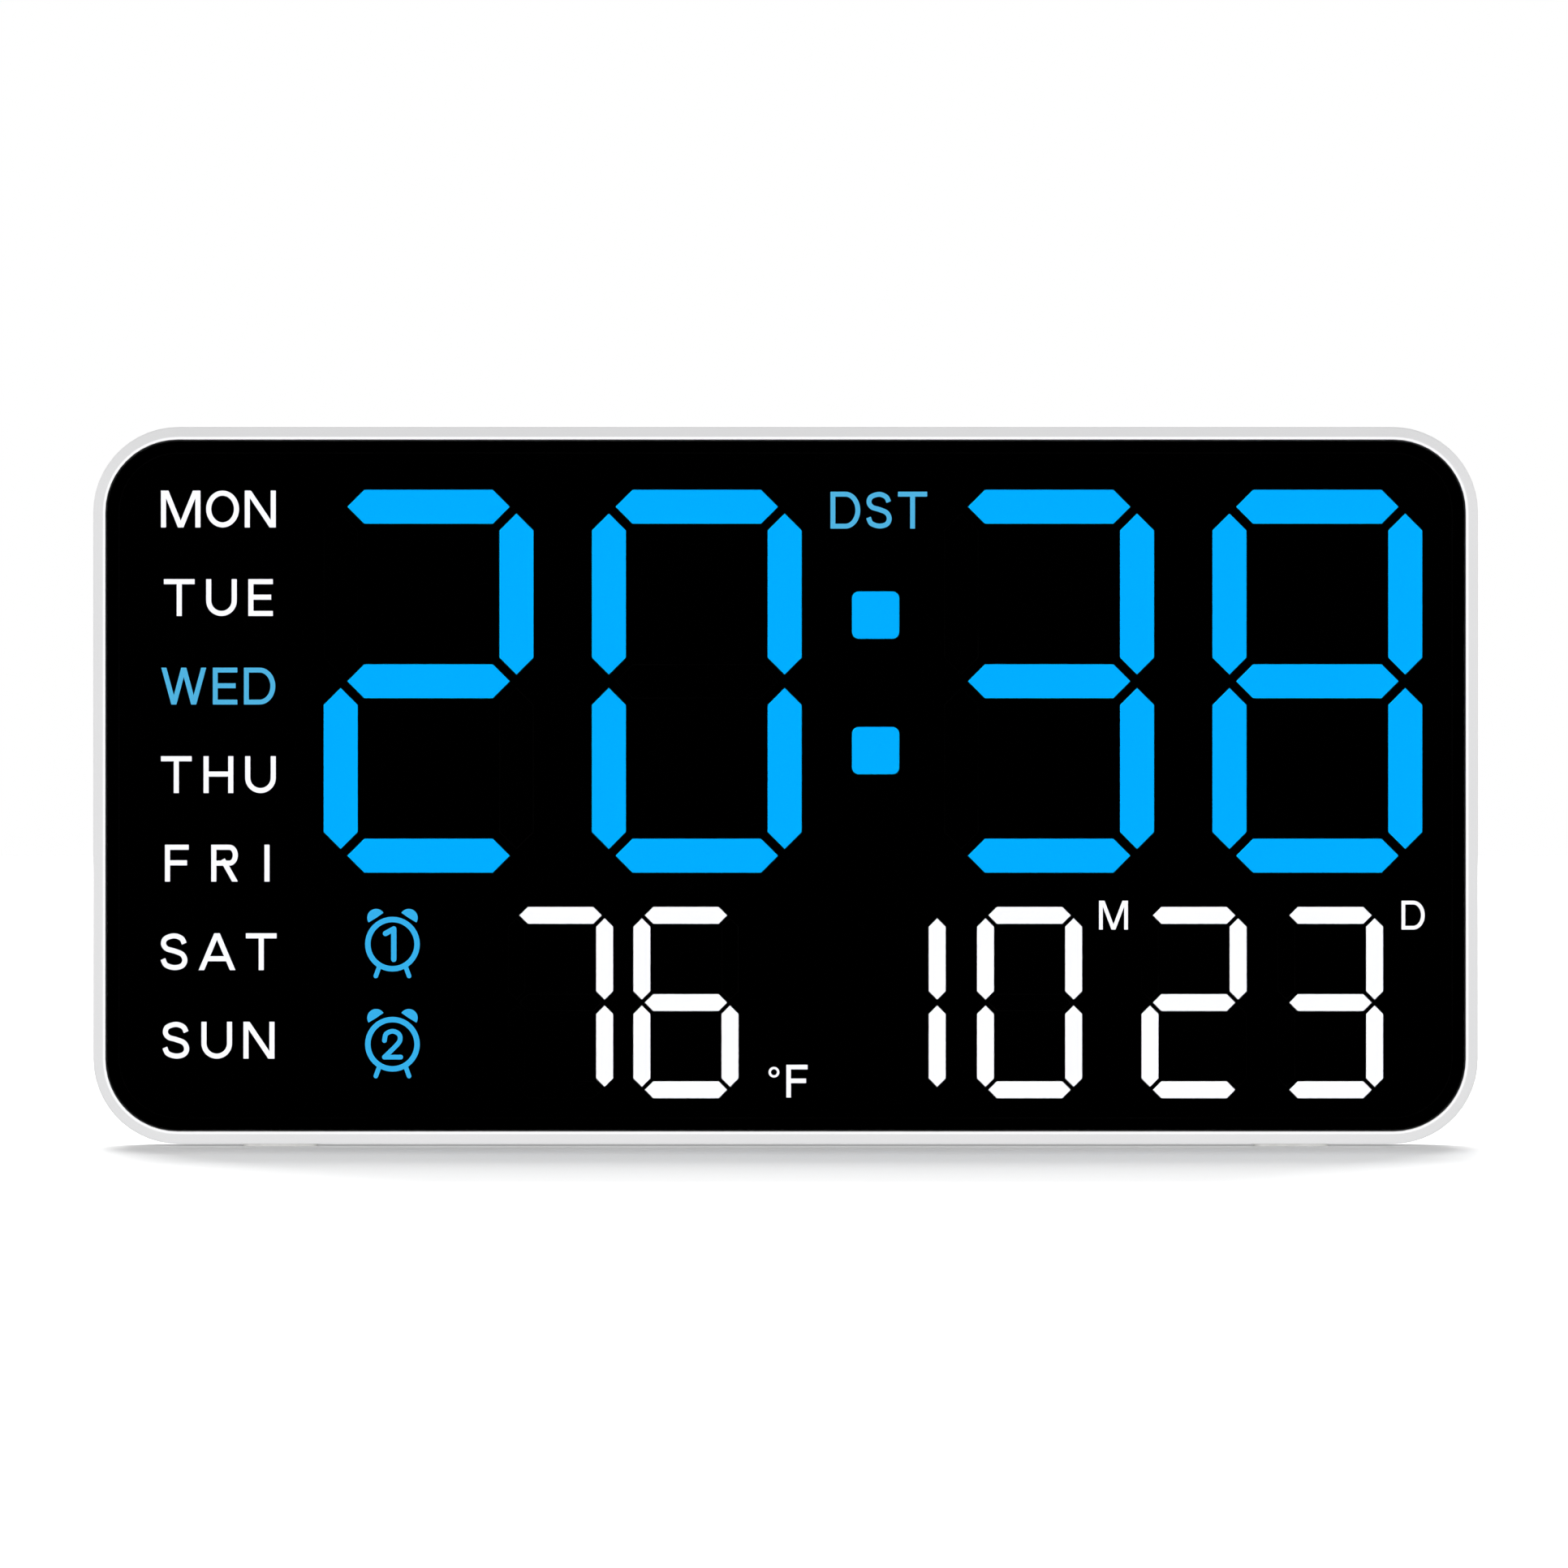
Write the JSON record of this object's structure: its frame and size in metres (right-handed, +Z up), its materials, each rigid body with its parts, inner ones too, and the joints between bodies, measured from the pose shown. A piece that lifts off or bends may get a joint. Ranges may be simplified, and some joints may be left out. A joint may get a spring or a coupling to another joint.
{
  "type": "dementia day clock",
  "caption": "Wide digital day clock with lit weekday words, large time digits, date and temperature, in a slim rounded case with a fold-out stand.",
  "frame": {"origin": "on the table, under the middle of the case", "axes": "+X to the right seen from the front, +Y from the front lens to the back, +Z up"},
  "size_m": [0.26, 0.026, 0.135],
  "materials": {
    "housing_white_abs": "fine satin, injection moulded",
    "stand_white_abs": "fine satin, injection moulded",
    "key_white_abs": "satin",
    "smoked_acrylic": "polished",
    "black_foam_tape": "matte",
    "black_mask_film": "matte print",
    "reflector_white_pc": "satin",
    "lit_blue": "lit diffuser",
    "lit_white": "lit diffuser",
    "unlit_smoke": "dark diffuser",
    "label_diffuser": "frosted",
    "board_green": "solder mask",
    "led_package": "moulded",
    "chip_black": "moulded epoxy",
    "bright_can": "bright",
    "switch_black": "moulded",
    "screw_steel": "zinc plated",
    "cell_steel": "bright nickel",
    "contact_nickel": "nickel plated spring steel",
    "pin_steel": "bright",
    "foot_rubber": "matte",
    "lead_pvc": "smooth",
    "socket_nylon": "moulded"
  },
  "bodies": {
    "case": {"front_housing": "housing_white_abs", "front_lens": "smoked_acrylic", "lens_tape": "black_foam_tape", "display_mask": "black_mask_film", "light_box": "reflector_white_pc", "time_segments_lit": "lit_blue", "calendar_segments_lit": "lit_white", "segments_unlit": "unlit_smoke", "colon_dots": "lit_blue", "word_diffusers": "label_diffuser", "display_board": "board_green", "time_leds": "led_package", "calendar_leds": "led_package", "controller_chip": "chip_black", "led_driver_chips": "chip_black", "clock_crystal": "bright_can", "smoothing_capacitor": "bright_can", "buzzer": "switch_black", "temperature_sensor": "switch_black", "usb_c_shell": "cell_steel", "usb_c_tongue": "switch_black", "key_switches": "switch_black", "key_plungers": "switch_black", "board_screws": "screw_steel", "rear_cover": "housing_white_abs", "cover_screws": "screw_steel", "foot_pads": "foot_rubber", "coin_cell": "cell_steel", "battery_contacts": "contact_nickel", "battery_leads": "lead_pvc", "battery_socket": "socket_nylon"},
    "stand": {"stand": "stand_white_abs", "stand_hinge_pins": "pin_steel", "stand_foot_pad": "foot_rubber"},
    "battery_door": {"battery_door": "stand_white_abs"},
    "mode_key": {"mode_key": "key_white_abs"},
    "alarm_key": {"alarm_key": "key_white_abs"},
    "down_key": {"down_key": "key_white_abs"},
    "up_key": {"up_key": "key_white_abs"},
    "light_key": {"light_key": "key_white_abs"}
  },
  "joints": [
    {"name": "stand_hinge", "type": "hinge", "parent": "case", "child": "stand", "pos_m": [0, 0.0102, 0.0872], "axis": [1, 0, 0], "range_deg": [0, 28]},
    {"name": "battery_door_turn", "type": "hinge", "parent": "case", "child": "battery_door", "pos_m": [0.078, 0.0128, 0.057], "axis": [0, 1, 0], "range_deg": [0, 45]},
    {"name": "mode_key_press", "type": "slide", "parent": "case", "child": "mode_key", "axis": [0, -1, 0], "range_m": [0, 0.0005], "stiffness_N_per_m": 250},
    {"name": "alarm_key_press", "type": "slide", "parent": "case", "child": "alarm_key", "axis": [0, -1, 0], "range_m": [0, 0.0005], "stiffness_N_per_m": 250},
    {"name": "down_key_press", "type": "slide", "parent": "case", "child": "down_key", "axis": [0, -1, 0], "range_m": [0, 0.0005], "stiffness_N_per_m": 250},
    {"name": "up_key_press", "type": "slide", "parent": "case", "child": "up_key", "axis": [0, -1, 0], "range_m": [0, 0.0005], "stiffness_N_per_m": 250},
    {"name": "light_key_press", "type": "slide", "parent": "case", "child": "light_key", "axis": [0, -1, 0], "range_m": [0, 0.0005], "stiffness_N_per_m": 250}
  ]
}
